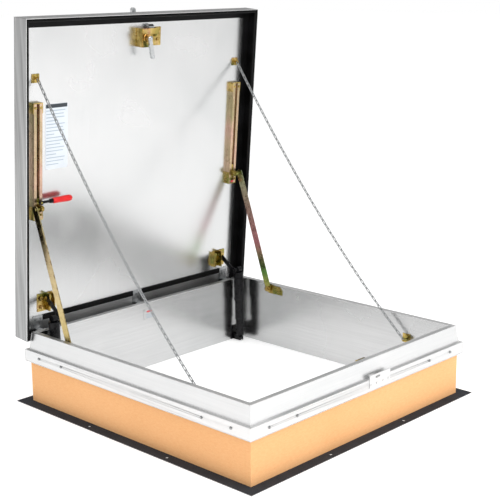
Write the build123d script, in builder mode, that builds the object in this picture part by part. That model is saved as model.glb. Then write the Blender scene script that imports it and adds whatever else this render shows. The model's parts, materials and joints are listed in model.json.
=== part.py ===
from build123d import *
import os
from math import atan2, cos, degrees, hypot, radians, sin

# A roof and deck access hatch on an insulated curb, with its cover standing open.
# +X runs along the hinge line, +Y points to the hinge side and +Z is up.
# The origin is the centre of the clear opening, on the underside of the curb's flange.

os.makedirs("parts", exist_ok=True)

# Driving dimensions, in millimetres
opening = 1219.2  # clear opening, square, inside the curb walls
curb_height = 305.0
sheet = 2.3  # curb, cap and cover sheet
board = 25.4  # curb insulation board
flange_width = 76.2
flange_seal_t = 1.5
bolt_radius = 5.56  # flange bolt holes
bolt_spacing = 457.2
bolt_line = 662.0  # flange bolt line, from the centre of the opening
band_reach = 654.0  # outer face of the cap's band, which is also the cover's half width
band_low, band_high = 183.0, 231.0
shoulder = 630.5  # outer edge of the cap's top shoulder
cap_foot = 640.0  # where the cap's leaning side meets the band
skirt_depth = 81.5  # depth of the cover's skirts
liner_depth = 56.0  # cover liner, measured in from the skirts' edges
cover_length = 1335.0
open_angle = 85.0
cover_foot = (637.0, 266.0)  # y and z of the skirts' lower front corner, cover open
hinge_y, hinge_z = 665.0, 284.5
hinge_xs = (-560.0, 0.0, 560.0)
seal_lip = 3.0  # black lining on the inside of the skirts
clearance = 0.5  # between sliding and neighbouring pieces
running = 0.05  # radial clearance of a pin in its bore

half = opening / 2
board_in = half + sheet
board_out = board_in + board
flange_out = half + flange_width
skirt_in = band_reach - sheet
sides = {"rear": 0, "left": 90, "front": 180, "right": 270}


def label_and_save(part, name):
    """Name a finished piece and write it as one STEP file."""
    part.label = name
    export_step(part, f"parts/{name}.step")


def group(name, pieces):
    """Several like pieces that share one node, as separate solids."""
    label_and_save(Compound([solid for piece in pieces for solid in piece.solids()]), name)


def mirrored(part):
    return part.mirror(Plane.YZ)


def cover_face(depth):
    """Plane across the open cover at a depth behind the skirts' edges: x is X, y runs up the cover."""
    tilt = radians(open_angle)
    front = Plane(origin=(0, *cover_foot), x_dir=(1, 0, 0), z_dir=(0, -sin(tilt), -cos(tilt)))
    return front.offset(-depth)


def cover_point(up, depth):
    """The y and z of a point of the open cover's cross-section."""
    point = cover_face(depth).from_local_coords(Vector(0, up, 0))
    return point.Y, point.Z


def plate(outline, x_low, x_high):
    """A flat piece that lies in a YZ plane, from its outline of (y, z) points."""
    with BuildPart() as flat:
        with BuildSketch(Plane.YZ.offset(x_low)):
            with BuildLine():
                Polyline(*outline, close=True)
            make_face()
        extrude(amount=x_high - x_low)
    return flat.part


def rod_x(y, z, radius, x_low, x_high):
    """A round bar along X."""
    with BuildPart() as bar:
        with BuildSketch(Plane.YZ.offset(x_low)):
            with Locations((y, z)):
                Circle(radius)
        extrude(amount=x_high - x_low)
    return bar.part


def cover_block(x_low, x_high, up_low, up_high, depth_low, depth_high):
    """A rectangular block in the cover's own directions."""
    with BuildPart() as block:
        with BuildSketch(cover_face(depth_high)):
            with Locations(((x_low + x_high) / 2, (up_low + up_high) / 2)):
                Rectangle(x_high - x_low, up_high - up_low)
        extrude(amount=depth_high - depth_low)
    return block.part


def cover_boss(x, up, radius, depth_low, depth_high):
    """A round boss that stands square to the cover."""
    with BuildPart() as boss:
        with BuildSketch(cover_face(depth_high)):
            with Locations((x, up)):
                Circle(radius)
        extrude(amount=depth_high - depth_low)
    return boss.part


# ---------------------------------------------------------------- curb

def mitred_side(outline):
    """A length of frame on the rear side, from its (y, z) section, mitred at both ends."""
    with BuildPart() as side:
        with BuildSketch(Plane.YZ):
            with BuildLine():
                Polyline(*outline, close=True)
            make_face()
        extrude(amount=flange_out, both=True)
        split(bisect_by=Plane(origin=(0, 0, 0), z_dir=(1, 1, 0)))
        split(bisect_by=Plane(origin=(0, 0, 0), z_dir=(-1, 1, 0)))
    return side.part


def drilled(part, xs, plane, radius):
    """The piece with round holes at these x positions of a plane across it."""
    with BuildPart() as piece:
        add(part)
        with BuildSketch(plane):
            with Locations(*[(x, 0) for x in xs]):
                Circle(radius)
        extrude(amount=flange_width, both=True, mode=Mode.SUBTRACT)
    return piece.part


bolt_xs = (-bolt_spacing / 2, bolt_spacing / 2)
bolt_plane = Plane(origin=(0, bolt_line, 0), z_dir=(0, 0, 1))
wall_top = curb_height - sheet
wall_outline = [
    (half, 0),
    (flange_out, 0),
    (flange_out, sheet),
    (board_in, sheet),
    (board_in, wall_top),
    (half, wall_top),
]
wall = drilled(mitred_side(wall_outline), bolt_xs, bolt_plane, bolt_radius)
for side_name, angle in sides.items():
    label_and_save(wall.rotate(Axis.Z, angle), f"curb_wall_{side_name}")

seal_top = sheet + flange_seal_t
seal_outline = [(board_out, sheet), (flange_out, sheet), (flange_out, seal_top), (board_out, seal_top)]
flange_strip = drilled(mitred_side(seal_outline), bolt_xs, bolt_plane, bolt_radius)
group("flange_seal", [flange_strip.rotate(Axis.Z, angle) for angle in sides.values()])

# Insulation boards: the front and rear ones run past the ends of the side ones
board_top = band_high - 1.5
board_z = (sheet + board_top) / 2
board_centre = board_in + board / 2
for side_name, (x, y, x_size, y_size) in {
    "front": (0, -board_centre, 2 * board_out, board),
    "rear": (0, board_centre, 2 * board_out, board),
    "left": (-board_centre, 0, board, 2 * board_in),
    "right": (board_centre, 0, board, 2 * board_in),
}.items():
    with BuildPart() as panel:
        with Locations((x, y, board_z)):
            Box(x_size, y_size, board_top - sheet)
    label_and_save(panel.part, f"curb_insulation_{side_name}")

# Cap flashing: shoulder, leaning side, step and vertical band, one sheet thick
band_in = band_reach - sheet
cap_outline = [
    (half, curb_height),
    (shoulder, curb_height),
    (cap_foot, band_high + 1),
    (band_reach, band_high),
    (band_reach, band_low),
    (band_in, band_low),
    (band_in, band_high - sheet),
    (cap_foot - sheet, band_high - sheet + 1),
    (shoulder - sheet, wall_top),
    (half, wall_top),
]
band_screw_xs = (-558.0, -410.0, 410.0, 558.0)
band_screw_z = 209.0
screw_radius = 2.5
band_plane = Plane(origin=(0, band_reach, band_screw_z), x_dir=(1, 0, 0), z_dir=(0, 1, 0))
cap = mitred_side(cap_outline)
with BuildPart() as cap_drilled:
    add(cap)
    with BuildSketch(band_plane):
        with Locations(*[(x, 0) for x in band_screw_xs]):
            Circle(screw_radius + running)
    extrude(amount=-2 * sheet, mode=Mode.SUBTRACT)
for side_name, angle in sides.items():
    label_and_save(cap_drilled.part.rotate(Axis.Z, angle), f"cap_flashing_{side_name}")

# Pan-head screws through the band
screw_head_radius, screw_head_height, screw_length = 5.0, 2.6, 9.0
with BuildPart() as screw:
    with BuildSketch(band_plane):
        Circle(screw_head_radius)
    extrude(amount=screw_head_height)
    fillet(screw.faces().sort_by(Axis.Y)[-1].edges(), 1.4)
    with BuildSketch(band_plane):
        Circle(screw_radius)
    extrude(amount=-screw_length)
screw_row = [Pos(x, 0, 0) * screw.part for x in band_screw_xs]
group("band_screws", [one.rotate(Axis.Z, angle) for angle in sides.values() for one in screw_row])

# Strike on the front wall, which the latch bolt hooks under
strike_x, strike_width = 22.0, 54.0
strike_lip, strike_low, strike_high, strike_t = 14.0, 262.0, 302.0, 3.0
with BuildPart() as strike:
    with BuildSketch(Plane.YZ.offset(strike_x - strike_width / 2)):
        with BuildLine():
            Polyline(
                (-half, strike_low),
                (-half, strike_high),
                (-half + strike_lip, strike_high),
                (-half + strike_lip, strike_high - strike_t),
                (-half + strike_t, strike_high - strike_t),
                (-half + strike_t, strike_low),
                close=True,
            )
        make_face()
    extrude(amount=strike_width)
    fillet(strike.edges().filter_by(Axis.Y).group_by(Axis.Z)[-1], 1.0)
label_and_save(strike.part, "strike")

# Padlock hasp plate on the outside of the front band
hasp_x, hasp_width, hasp_low, hasp_high, hasp_t = 75.0, 130.0, 194.0, 248.0, 3.0
hasp_mid = (hasp_low + hasp_high) / 2
hasp_plane = Plane(origin=(hasp_x, -band_reach, hasp_mid), x_dir=(1, 0, 0), z_dir=(0, -1, 0))
with BuildPart() as hasp:
    with BuildSketch(hasp_plane):
        RectangleRounded(hasp_width, hasp_high - hasp_low, 6)
        with Locations((-15, 14)):
            SlotOverall(30, 9, mode=Mode.SUBTRACT)
    extrude(amount=hasp_t)
    with BuildSketch(hasp_plane.offset(hasp_t)):
        with Locations((-54, -12), (-20, -12), (20, -12), (54, -12)):
            Circle(4.5)
    extrude(amount=2)
label_and_save(hasp.part, "hasp_plate")

# Blank data plate on the rear wall
with BuildPart() as data_plate:
    with BuildSketch(Plane(origin=(8, half, 250), x_dir=(1, 0, 0), z_dir=(0, -1, 0))):
        RectangleRounded(76, 50, 3)
    extrude(amount=0.8)
label_and_save(data_plate.part, "data_plate")

# ---------------------------------------------------------------- hinges

pin_radius, knuckle_radius = 5.0, 9.0
leaf_half, knuckle_half = 25.0, 12.5
leaf_low, leaf_high = hinge_z + 5.0, hinge_z + 9.0
leaf_root, leaf_notch = 636.0, 645.0
cap_lean = (cap_foot - shoulder) / (band_high + 1 - curb_height)


def cap_side_y(z):
    """The outer face of the cap's leaning side at a height."""
    return shoulder + (z - curb_height) * cap_lean


def shelf_piece(y_low, y_high, x_low, x_high):
    """A level plate of the hinge leaf's thickness."""
    outline = [(y_low, leaf_low), (y_high, leaf_low), (y_high, leaf_high), (y_low, leaf_high)]
    return plate(outline, x_low, x_high)


def curb_leaf(x):
    """Hinge leaf on the rear cap: a foot on the leaning side, a shelf and two knuckles."""
    foot_low, foot_high = 276.0, 303.0
    foot = plate(
        [
            (cap_side_y(foot_low), foot_low),
            (cap_side_y(foot_high), foot_high),
            (leaf_root, foot_high),
            (leaf_root, foot_low + 2),
            (cap_side_y(foot_low) + 2, foot_low),
        ],
        x - leaf_half,
        x + leaf_half,
    )
    shelf = shelf_piece(leaf_root - 1, leaf_notch, x - leaf_half, x + leaf_half)
    leaf = foot + shelf
    for x_low in (x - leaf_half, x + knuckle_half + clearance):
        x_high = x_low + leaf_half - knuckle_half - clearance
        arm = shelf_piece(leaf_notch - 1, hinge_y, x_low, x_high)
        leaf = leaf + arm + rod_x(hinge_y, hinge_z, knuckle_radius, x_low, x_high)
    return leaf - rod_x(hinge_y, hinge_z, pin_radius, x - leaf_half, x + leaf_half)


def hinge_pin(x):
    """Pin with a round head at each end."""
    head = 3.0
    shank = rod_x(hinge_y, hinge_z, pin_radius, x - leaf_half - head, x + leaf_half + head)
    left_head = rod_x(hinge_y, hinge_z, knuckle_radius - 1, x - leaf_half - head, x - leaf_half)
    right_head = rod_x(hinge_y, hinge_z, knuckle_radius - 1, x + leaf_half, x + leaf_half + head)
    return shank + left_head + right_head


def cover_leaf(x):
    """Hinge leaf on the cover: a strap on the liner, a leg and the middle knuckle."""
    up_pin = 16.0
    strap_up, strap_t = 80.0, 4.0
    strap_low = liner_depth - strap_t
    strap = cover_block(x - leaf_half, x + leaf_half, up_pin + 5, strap_up, strap_low, liner_depth)
    leg = cover_block(x - knuckle_half, x + knuckle_half, up_pin + 5, up_pin + 9, 29.5, liner_depth)
    leaf = strap + leg + rod_x(hinge_y, hinge_z, knuckle_radius, x - knuckle_half, x + knuckle_half)
    leaf = leaf - rod_x(hinge_y, hinge_z, pin_radius + running, x - knuckle_half, x + knuckle_half)
    bolts = [cover_boss(x + dx, strap_up - 14, 5, strap_low - 1.5, strap_low) for dx in (-14, 14)]
    return leaf + bolts[0] + bolts[1]


group("hinge_leaves_curb", [curb_leaf(x) for x in hinge_xs])
group("hinge_pins", [hinge_pin(x) for x in hinge_xs])
group("hinge_leaves_cover", [cover_leaf(x) for x in hinge_xs])

# ---------------------------------------------------------------- cover

cover_mid = cover_length / 2
with BuildPart() as cover_skin:
    with BuildSketch(cover_face(skirt_depth)):
        with Locations((0, cover_mid)):
            Rectangle(2 * band_reach, cover_length)
    extrude(amount=sheet)
    with BuildSketch(cover_face(skirt_depth)):
        with Locations((0, cover_mid)):
            Rectangle(2 * band_reach, cover_length)
            Rectangle(2 * skirt_in, cover_length - 2 * sheet, mode=Mode.SUBTRACT)
    extrude(amount=skirt_depth)

liner_t = 1.0
core_low, core_high = liner_depth + liner_t, skirt_depth - sheet
with BuildPart() as cover_liner:
    with BuildSketch(cover_face(core_low)):
        with Locations((0, cover_mid)):
            Rectangle(2 * skirt_in, cover_length - 2 * sheet)
    extrude(amount=liner_t)

# Two stiffening channels inside the cover, and the insulation core cut out around them
stiffener_x, stiffener_width = 566.0, 60.0
stiffener_ends = (60.0, cover_length - 60.0)
with BuildPart() as stiffener:
    with BuildSketch(cover_face(core_high)):
        with Locations((stiffener_x, cover_mid)):
            Rectangle(stiffener_width, stiffener_ends[1] - stiffener_ends[0])
    extrude(amount=core_high - core_low)
    with BuildSketch(cover_face(core_high)):
        with Locations((stiffener_x, cover_mid)):
            Rectangle(stiffener_width - 2 * sheet, stiffener_ends[1] - stiffener_ends[0])
    extrude(amount=core_high - core_low - sheet, mode=Mode.SUBTRACT)
group("cover_stiffeners", [stiffener.part, mirrored(stiffener.part)])

with BuildPart() as cover_core:
    with BuildSketch(cover_face(core_high)):
        with Locations((0, cover_mid)):
            Rectangle(2 * skirt_in, cover_length - 2 * sheet)
            with Locations((-stiffener_x, 0), (stiffener_x, 0)):
                Rectangle(stiffener_width, stiffener_ends[1] - stiffener_ends[0], mode=Mode.SUBTRACT)
    extrude(amount=core_high - core_low)

# Gasket: a U on the liner's margin at the free edge and the two sides, and a lining on the skirts
gasket_in = 612.0
gasket_t = 5.0
gasket_end = cover_length - band_reach + gasket_in
lining_in = skirt_in - seal_lip
gasket_front = liner_depth - gasket_t
lining_edge = 2.0
with BuildPart() as cover_gasket:
    with BuildSketch(cover_face(liner_depth)):
        with Locations((0, cover_mid)):
            Rectangle(2 * skirt_in, cover_length - 2 * sheet)
        with Locations((0, (gasket_end + sheet) / 2)):
            Rectangle(2 * gasket_in, gasket_end - sheet, mode=Mode.SUBTRACT)
    extrude(amount=gasket_t)
    with BuildSketch(cover_face(gasket_front)):
        with Locations((0, cover_mid)):
            Rectangle(2 * skirt_in, cover_length - 2 * sheet)
            Rectangle(2 * lining_in, cover_length - 2 * sheet - 2 * seal_lip, mode=Mode.SUBTRACT)
    extrude(amount=gasket_front - lining_edge)
label_and_save(cover_gasket.part, "cover_gasket")

# Hinge side: a seal strip between the leaves, which lands on the rear shoulder, and a metal trim below it
seal_low, seal_high = 56.0, 80.0
trim_low = sheet + seal_lip + clearance
trim_t = 2.0
gaps = [
    (hinge_xs[0] + leaf_half + 2, hinge_xs[1] - leaf_half - 2),
    (hinge_xs[1] + leaf_half + 2, hinge_xs[2] - leaf_half - 2),
]
seals = [cover_block(*gap, seal_low, seal_high, gasket_front, liner_depth) for gap in gaps]
group("hinge_seal", seals)
trims = [cover_block(*gap, trim_low, seal_low, liner_depth - trim_t, liner_depth) for gap in gaps]
group("hinge_trim", trims)

with BuildPart() as info_label:
    with BuildSketch(cover_face(liner_depth)):
        with Locations((-463, 846)):
            RectangleRounded(114, 272, 4)
    extrude(amount=0.6)
label_and_save(info_label.part, "info_label")

# ---------------------------------------------------------------- hold-open arms

channel_x, channel_width = 571.0, 42.0
channel_front = 34.0
channel_low, channel_high = 512.0, 992.0
channel_wall = 2.5
slot_width = 14.0


def channel():
    """Guide channel on the liner, with a lipped slot down its front."""
    mid = (channel_low + channel_high) / 2
    length = channel_high - channel_low
    inner_depth = liner_depth - channel_front - 2 * channel_wall
    with BuildPart() as guide:
        with BuildSketch(cover_face(liner_depth)):
            with Locations((channel_x, mid)):
                Rectangle(channel_width, length)
        extrude(amount=liner_depth - channel_front)
        with BuildSketch(cover_face(liner_depth - channel_wall)):
            with Locations((channel_x, mid)):
                Rectangle(channel_width - 2 * channel_wall, length)
        extrude(amount=inner_depth, mode=Mode.SUBTRACT)
        with BuildSketch(cover_face(liner_depth - channel_wall)):
            with Locations((channel_x, mid)):
                Rectangle(slot_width, length)
        extrude(amount=liner_depth, mode=Mode.SUBTRACT)
    return guide.part


def channel_end(up_low, up_high, plate_low, plate_high):
    """Cheeks on both flanks of the channel and a plate across its end."""
    cheek = 3.0
    inner, outer = channel_x - channel_width / 2, channel_x + channel_width / 2
    piece = cover_block(inner - cheek, inner, up_low, up_high, channel_front, liner_depth)
    piece = piece + cover_block(outer, outer + cheek, up_low, up_high, channel_front, liner_depth)
    across = cover_block(inner - cheek, outer + cheek, plate_low, plate_high, channel_front, liner_depth)
    return piece + across


right_channel = channel()
group("guide_channels", [right_channel, mirrored(right_channel)])
end_t = 4.0
ends = [
    channel_end(channel_low - end_t, channel_low + 52, channel_low - end_t, channel_low),
    channel_end(channel_high - 40, channel_high + end_t, channel_high, channel_high + end_t),
]
group("channel_ends", ends + [mirrored(one) for one in ends])

pivot_y, pivot_z = 418.0, 282.0
arm_low, arm_high = 597.5, 602.5
arm_half_width = 16.0
slider_up, slider_depth = 562.0, 14.0
stud_radius = 6.0
arm_top = cover_point(slider_up, slider_depth)
arm_length = hypot(arm_top[0] - pivot_y, arm_top[1] - pivot_z)
arm_angle = degrees(atan2(arm_top[1] - pivot_z, arm_top[0] - pivot_y))


def hold_open_arm():
    """Flat bar from the curb stud to the slider, with a bolt head outside its top eye."""
    arm_plane = Plane(origin=(arm_low, pivot_y, pivot_z), x_dir=(0, 1, 0), z_dir=(1, 0, 0))
    with BuildPart() as bar:
        with BuildSketch(arm_plane):
            with Locations(((arm_top[0] - pivot_y) / 2, (arm_top[1] - pivot_z) / 2)):
                SlotCenterToCenter(arm_length, 2 * arm_half_width, rotation=arm_angle)
            Circle(stud_radius + running, mode=Mode.SUBTRACT)
        extrude(amount=arm_high - arm_low)
    return bar.part + rod_x(*arm_top, 8, arm_high, arm_high + 3)


def slider(pin_end):
    """Block in the channel, a neck through the slot and the pin that the arm turns on."""
    block_depth = (channel_front + channel_wall + clearance, liner_depth - channel_wall - clearance)
    reach = channel_width / 2 - channel_wall - clearance
    block = cover_block(channel_x - reach, channel_x + reach, slider_up - 30, lever_up + 13, *block_depth)
    neck_half = slot_width / 2 - clearance
    neck_x = (channel_x - neck_half, channel_x + neck_half)
    neck = cover_block(*neck_x, slider_up - 13, slider_up + 13, slider_depth, block_depth[0])
    head = rod_x(*arm_top, 13, *neck_x)
    return block + neck + head + rod_x(*arm_top, 6, channel_x, pin_end)


def arm_bracket():
    """Plate on the curb wall with the stud that carries the arm's foot."""
    plate_t = 3.0
    plate_outline = [(336, 258), (336, 280), (352, 298), (430, 298), (430, 266), (420, 258)]
    base = plate(plate_outline, half - plate_t, half)
    stud = rod_x(pivot_y, pivot_z, stud_radius, arm_low - 5, half - plate_t)
    collar = rod_x(pivot_y, pivot_z, 10, arm_high + clearance, half - plate_t)
    nut = rod_x(pivot_y, pivot_z, 10, arm_low - 5, arm_low - clearance)
    bolts = [rod_x(y, 272, 6, half - plate_t - 4, half - plate_t) for y in (352, 384)]
    return base + stud + collar + nut + bolts[0] + bolts[1]


right_arm = hold_open_arm()
label_and_save(right_arm, "hold_open_arm_right")
label_and_save(mirrored(right_arm), "hold_open_arm_left")

# The left slider also carries the release lever's pin
lever_up, lever_pin_radius, lever_half_depth = 588.0, 4.0, 6.0
lever_depths = (slider_depth - lever_half_depth, slider_depth + lever_half_depth)
plain_slider = slider(arm_low - clearance)
lever_pin_root = channel_front + channel_wall + 2
lever_pin = cover_boss(-channel_x, lever_up, lever_pin_radius, lever_depths[0], lever_pin_root)
label_and_save(plain_slider, "arm_slider_right")
label_and_save(mirrored(plain_slider) + lever_pin, "arm_slider_left")
right_bracket = arm_bracket()
group("arm_brackets", [right_bracket, mirrored(right_bracket)])

# Release lever: a boss on the left slider's pin, a rod, a collar and the grip
grip_start, grip_end, grip_radius = -514.0, -414.0, 14.0
lever_line = cover_point(lever_up, slider_depth)
lever_boss = cover_boss(-channel_x, lever_up, 9, *lever_depths)
lever_body = lever_boss + rod_x(*lever_line, 5.5, -channel_x, grip_start)
lever_body = lever_body + rod_x(*lever_line, 9.5, grip_start - 12, grip_start)
lever_bore = cover_boss(-channel_x, lever_up, lever_pin_radius + running, *lever_depths)
label_and_save(lever_body - lever_bore, "release_lever")

with BuildPart() as grip:
    add(rod_x(*lever_line, grip_radius, grip_start, grip_end))
    fillet(grip.faces().sort_by(Axis.X)[-1].edges(), 10)
    fillet(grip.faces().sort_by(Axis.X)[0].edges(), 3)
label_and_save(grip.part, "release_grip")

# ---------------------------------------------------------------- lift operators

tube_x = 556.0
foot_y, foot_z = 568.0, 18.0
lift_y, lift_z = hinge_y - 90.0, hinge_z + 74.0
tube_length = hypot(lift_y - foot_y, lift_z - foot_z)
tube_lean = degrees(atan2(lift_y - foot_y, lift_z - foot_z))
eye_half, eye_radius, eye_pin = 5.0, 13.0, 5.0


def tube_plane(along):
    """Plane across the right operator at a distance from its foot pin."""
    base = Plane(origin=(tube_x, foot_y, foot_z), z_dir=(0, 0, 1)).rotated((-tube_lean, 0, 0))
    return base.offset(along)


def tube(low, high, outer, inner):
    with BuildPart() as shell:
        with BuildSketch(tube_plane(low)):
            Circle(outer)
            Circle(inner, mode=Mode.SUBTRACT)
        extrude(amount=high - low)
    return shell.part


def disc(low, high, radius):
    with BuildPart() as cap:
        with BuildSketch(tube_plane(low)):
            Circle(radius)
        extrude(amount=high - low)
    return cap.part


def operator_lower():
    """Inner tube with the foot eye."""
    eye = rod_x(foot_y, foot_z, eye_radius, tube_x - eye_half, tube_x + eye_half)
    body = tube(16, 118, 19, 16.5) + disc(12, 16, 19) + eye
    return body - rod_x(foot_y, foot_z, eye_pin + running, tube_x - eye_half, tube_x + eye_half)


def operator_upper():
    """Outer tube with a closed top and the stub that stands beside the cover's lever."""
    top = tube_length - 13
    stub = rod_x(lift_y, lift_z, 7, lever_face + clearance, tube_x)
    eye = rod_x(lift_y, lift_z, 15, tube_x - 12, tube_x + 12)
    return tube(top - 140, top - 4, 24, 22) + disc(top - 4, top, 24) + eye + stub


def operator_spring():
    """Compression spring inside the tubes."""
    spring_radius, wire, turns, spring_low = 13.0, 2.0, 12, 19.0
    spring_height = tube_length - 21 - spring_low
    with BuildPart() as spring:
        with BuildLine() as coils:
            Helix(pitch=spring_height / turns, height=spring_height, radius=spring_radius)
        with BuildSketch(Plane(origin=coils.line @ 0, z_dir=coils.line % 0)):
            Circle(wire)
        sweep(path=coils.line, is_frenet=True)
    return tube_plane(spring_low).location * spring.part


lever_low, lever_face = 519.0, 525.0
right_lower = operator_lower()
label_and_save(right_lower, "operator_lower_right")
label_and_save(mirrored(right_lower), "operator_lower_left")
right_middle = tube(92, 212, 21.5, 19.5)
label_and_save(right_middle, "operator_middle_right")
label_and_save(mirrored(right_middle), "operator_middle_left")
right_upper = operator_upper()
label_and_save(right_upper, "operator_upper_right")
label_and_save(mirrored(right_upper), "operator_upper_left")
right_spring = operator_spring()
label_and_save(right_spring, "operator_spring_right")
label_and_save(mirrored(right_spring), "operator_spring_left")


def operator_shoe():
    """Clevis on the rear wall that holds the operator's foot pin."""
    ear_low, ear_high = tube_x - 11, tube_x + 11
    ear_top = foot_z + 10
    ear_front = foot_y - 11
    ear_outline = [(half, 3), (half, ear_top), (foot_y - 4, ear_top), (ear_front, foot_z), (ear_front, 3)]
    shoe = plate([(half - 4, 3), (half, 3), (half, 70), (half - 4, 70)], tube_x - 24, tube_x + 24)
    for x_low, x_high in ((ear_low, tube_x - eye_half - clearance), (tube_x + eye_half + clearance, ear_high)):
        shoe = shoe + plate(ear_outline, x_low, x_high)
    return shoe + rod_x(foot_y, foot_z, eye_pin, ear_low - 3, ear_high + 3)


right_shoe = operator_shoe()
group("operator_shoes", [right_shoe, mirrored(right_shoe)])


bracket_t = 4.0
bracket_low, bracket_high = 97.0, 176.0
ear_t = 6.0
lever_root_up, lever_root_depth = 156.0, 42.0
lever_width, lever_eye = 20.0, 15.0


def cover_bracket():
    """Folded bracket on the liner that carries the operator's lever."""
    base = cover_block(482, 560, bracket_low, bracket_high, liner_depth - bracket_t, liner_depth)
    ear = cover_block(lever_low - ear_t, lever_low, bracket_low + 3, bracket_high, 24, liner_depth)
    wing = cover_block(482, 486, bracket_low + 3, bracket_high - 6, 32, liner_depth)
    bolt_places = [(500, 116), (500, 157), (543, 116), (543, 157)]
    base_face = liner_depth - bracket_t
    bolts = [cover_boss(*place, 6, base_face - 5, base_face) for place in bolt_places]
    return base + ear + wing + bolts[0] + bolts[1] + bolts[2] + bolts[3]


def cover_lever():
    """Black lever fixed to the bracket's ear, whose eye meets the operator's top."""
    root_y, root_z = cover_point(lever_root_up, lever_root_depth)
    run, rise = root_y - lift_y, root_z - lift_z
    with BuildPart() as bar:
        with BuildSketch(Plane.YZ.offset(lever_low)):
            with Locations(((root_y + lift_y) / 2, (root_z + lift_z) / 2)):
                SlotCenterToCenter(hypot(run, rise), lever_width, rotation=degrees(atan2(rise, run)))
            with Locations((lift_y, lift_z)):
                Circle(lever_eye)
        extrude(amount=lever_face - lever_low)
    return bar.part + rod_x(lift_y, lift_z, 9, lever_low - 6, lever_low)


right_cover_bracket = cover_bracket()
group("operator_brackets", [right_cover_bracket, mirrored(right_cover_bracket)])
right_cover_lever = cover_lever()
group("operator_levers", [right_cover_lever, mirrored(right_cover_lever)])

# ---------------------------------------------------------------- latch

spindle_x, spindle_up, spindle_radius = -20.0, 1232.0, 6.0
case_left, case_right = -44.0, -2.0
case_low, case_high = 1192.0, 1272.0
case_front, hood_front = 14.0, 16.0
case_back = liner_depth - 3
case_wall = 3.0
hood_right = 52.0
bolt_left, bolt_right = 8.0, 36.0
bolt_front, bolt_back = 30.0, 43.0
bolt_low, bolt_tip = 1246.0, 1286.0
plate_left, plate_right = -46.0, 96.0


def spindle_hole(radius, depth_low, depth_high):
    return cover_boss(spindle_x, spindle_up, radius, depth_low, depth_high)


def case_shell(x_low, x_high, up_low, up_high, front, open_up):
    """A box open at its back, and at its top as well where open_up is the wall's thickness."""
    outer = cover_block(x_low, x_high, up_low, up_high, front, case_back)
    inner_up = (up_low + case_wall - open_up, up_high - case_wall + open_up)
    inner = cover_block(x_low + case_wall, x_high - case_wall, *inner_up, front + case_wall, case_back)
    return outer - inner


latch_plate = cover_block(plate_left, plate_right, case_low, case_high, case_back, liner_depth)
latch_box = case_shell(case_left, case_right, case_low, case_high, case_front, 0)
hood = case_shell(case_right, hood_right, bolt_low, case_high, hood_front, case_wall)
guide = cover_block(bolt_left - 2, bolt_right + 2, bolt_low, case_high, bolt_back + clearance, case_back)
latch_case = latch_plate + latch_box + hood + guide
for screw_place in ((80, 1256), (80, 1218), (64, 1237)):
    latch_case = latch_case + cover_boss(*screw_place, 6, case_back - 5, case_back)
latch_case = latch_case - spindle_hole(spindle_radius + running, case_front, liner_depth)
label_and_save(latch_case, "latch_case")

with BuildPart() as latch_bolt:
    add(cover_block(bolt_left, bolt_right, bolt_low, bolt_tip, bolt_front, bolt_back))
    chamfer(latch_bolt.faces().sort_by(Axis.Z)[-1].edges().sort_by(Axis.Y)[0], 8)
label_and_save(latch_bolt.part, "latch_bolt")

# The spindle passes right through the cover, and both handles turn with it
inside_front, inside_back = -12.0, -2.0
hub_back = case_front - clearance
outside_hub, outside_front, outside_back = skirt_depth + clearance, 94.0, 106.0
spindle = cover_boss(spindle_x, spindle_up, spindle_radius, inside_front, outside_back)
cam = cover_boss(spindle_x, spindle_up, 12, bolt_back + 2, case_back - 3)
label_and_save(spindle + cam, "spindle")


def handle_bar(end_x, end_up, width, depth_low, depth_high):
    """Flat lever with round ends, from the spindle to its free end."""
    run, rise = end_x - spindle_x, end_up - spindle_up
    with BuildPart() as bar:
        with BuildSketch(cover_face(depth_high)):
            with Locations(((spindle_x + end_x) / 2, (spindle_up + end_up) / 2)):
                SlotCenterToCenter(hypot(run, rise), width, rotation=degrees(atan2(rise, run)))
        extrude(amount=depth_high - depth_low)
    return bar.part


latch_hub = cover_boss(spindle_x, spindle_up, 15, inside_back, hub_back)
label_and_save(latch_hub - spindle_hole(spindle_radius, inside_back, hub_back), "latch_hub")
inside_bar = handle_bar(-2, 1154, 18, inside_front, inside_back)
label_and_save(inside_bar - spindle_hole(spindle_radius, inside_front, inside_back), "handle_inside")
outside_bar = handle_bar(-26, 1341, 22, outside_front, outside_back)
outside_bar = outside_bar + cover_boss(spindle_x, spindle_up, 22, outside_hub, outside_front)
label_and_save(outside_bar - spindle_hole(spindle_radius, outside_hub, outside_back), "handle_outside")

# The cover's own sheets, with the spindle's hole through them
wide_hole = spindle_radius + clearance
label_and_save(cover_skin.part - spindle_hole(spindle_radius + running, core_high, skirt_depth), "cover_skin")
label_and_save(cover_liner.part - spindle_hole(wide_hole, liner_depth, core_low), "cover_liner")
label_and_save(cover_core.part - spindle_hole(wide_hole, core_low, core_high), "cover_core")

# ---------------------------------------------------------------- safety chains

chain_top_x, chain_foot_x = 570.0, 584.0
chain_top = cover_point(1092, 40)
chain_foot = (-395.0, 203.0)
chain_sag = 69.0  # at mid length, measured straight down
chain_wire, link_half_width, link_gap = 2.0, 4.6, 0.4
link_count, upper_count = 65, 34
ring_half, ring_outer, ring_hole = 1.5, 9.0, 5.0


def eye_ring(y, z, x):
    ring = rod_x(y, z, ring_outer, x - ring_half, x + ring_half)
    return ring - rod_x(y, z, ring_hole, x - ring_half, x + ring_half)


def cover_eye():
    """Pad on the liner, a stem and the ring that the chain hangs from."""
    pad = cover_block(chain_top_x - 18, chain_top_x + 18, 1074, 1110, liner_depth - 3, liner_depth)
    stem = cover_block(chain_top_x - ring_half, chain_top_x + ring_half, 1088, 1096, 46, liner_depth - 3)
    return pad + stem + eye_ring(*chain_top, chain_top_x)


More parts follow.
